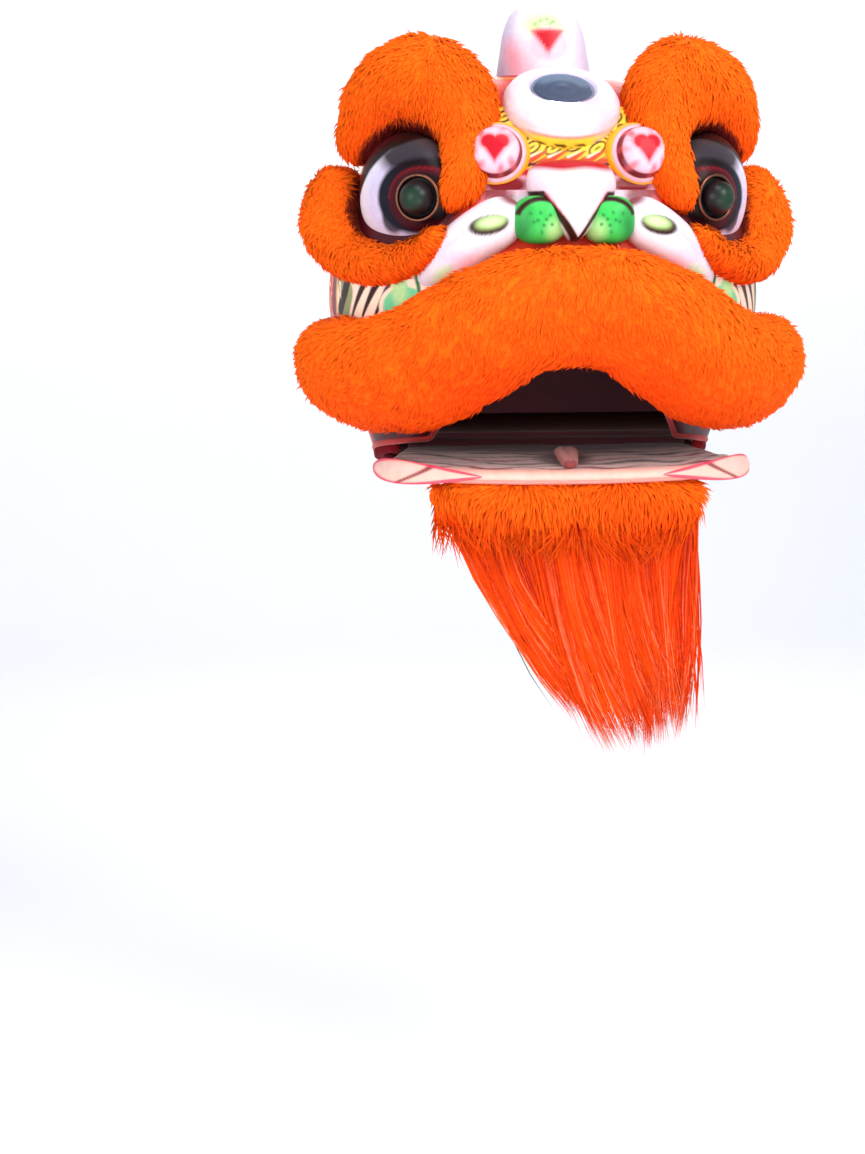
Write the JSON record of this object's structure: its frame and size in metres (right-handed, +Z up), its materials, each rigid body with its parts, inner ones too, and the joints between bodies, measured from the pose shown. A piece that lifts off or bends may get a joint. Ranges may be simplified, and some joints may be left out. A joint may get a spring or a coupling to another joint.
{
  "type": "lion dance head",
  "caption": "Hollow costume lion head with fur brow, cheek and lip rolls, painted nose and eyes, mirror, horn, and a hinged jaw with a beard.",
  "frame": {"origin": "middle of the grip bar inside the head, where a performer's hands hold it up", "axes": "+Z up, -Y the way the face looks, +X to the right as seen facing the lion"},
  "size_m": [0.6595, 0.6092, 0.9523],
  "materials": {
    "painted_shell": "papier-mache painted in orange, red, gold and green under clear lacquer",
    "wrapped_rattan": "split rattan wrapped in dark red cloth tape",
    "bamboo": "bamboo stained a dull dark brown",
    "white_enamel": "white enamel paint on papier-mache with pink and lilac shading",
    "mirror_glass": "small round mirror",
    "boss_enamel": "pink and crimson enamel on papier-mache",
    "green_enamel": "green enamel with darker specks",
    "eye_enamel": "white, navy and maroon enamel",
    "gilt": "thin gilt ring",
    "black_gloss": "glossy black ball",
    "orange_fur": "dense orange plush fur, redder at the roots",
    "beard_hair": "long straight orange-red hair",
    "mouth_cloth": "grey-pink painted cloth over board, with dark wavy lines",
    "lip_satin": "cream to pink padded satin",
    "piping_cord": "magenta-red piping",
    "tongue_cloth": "salmon cloth"
  },
  "bodies": {
    "head": {"shell_low_front_left": "painted_shell", "shell_low_front_right": "painted_shell", "shell_low_back_left": "painted_shell", "shell_low_back_right": "painted_shell", "shell_crown_front_left": "painted_shell", "shell_crown_front_right": "painted_shell", "shell_crown_back_left": "painted_shell", "shell_crown_back_right": "painted_shell", "base_hoop": "wrapped_rattan", "grip_bar": "bamboo", "jaw_rod": "bamboo", "mirror_mount": "white_enamel", "mirror": "mirror_glass", "horn": "white_enamel", "nose_bridge": "white_enamel", "forehead_boss_left": "boss_enamel", "nostril_left": "green_enamel", "lip_ridge_left": "white_enamel", "eye_dome_left": "eye_enamel", "iris_ring_left": "gilt", "pupil_left": "black_gloss", "forehead_boss_right": "boss_enamel", "nostril_right": "green_enamel", "lip_ridge_right": "white_enamel", "eye_dome_right": "eye_enamel", "iris_ring_right": "gilt", "pupil_right": "black_gloss", "muzzle_fur": "orange_fur", "brow_fur_left": "orange_fur", "cheek_fur_left": "orange_fur", "brow_fur_right": "orange_fur", "cheek_fur_right": "orange_fur"},
    "jaw": {"jaw_board": "mouth_cloth", "jaw_lip": "lip_satin", "lip_piping": "piping_cord", "tongue": "tongue_cloth", "chin_fur": "orange_fur", "beard": "beard_hair"}
  },
  "joints": [
    {"name": "jaw_hinge", "type": "hinge", "parent": "head", "child": "jaw", "pos_m": [0, -0.06, -0.0245], "axis": [-1, 0, 0], "range_deg": [0, 10]}
  ]
}
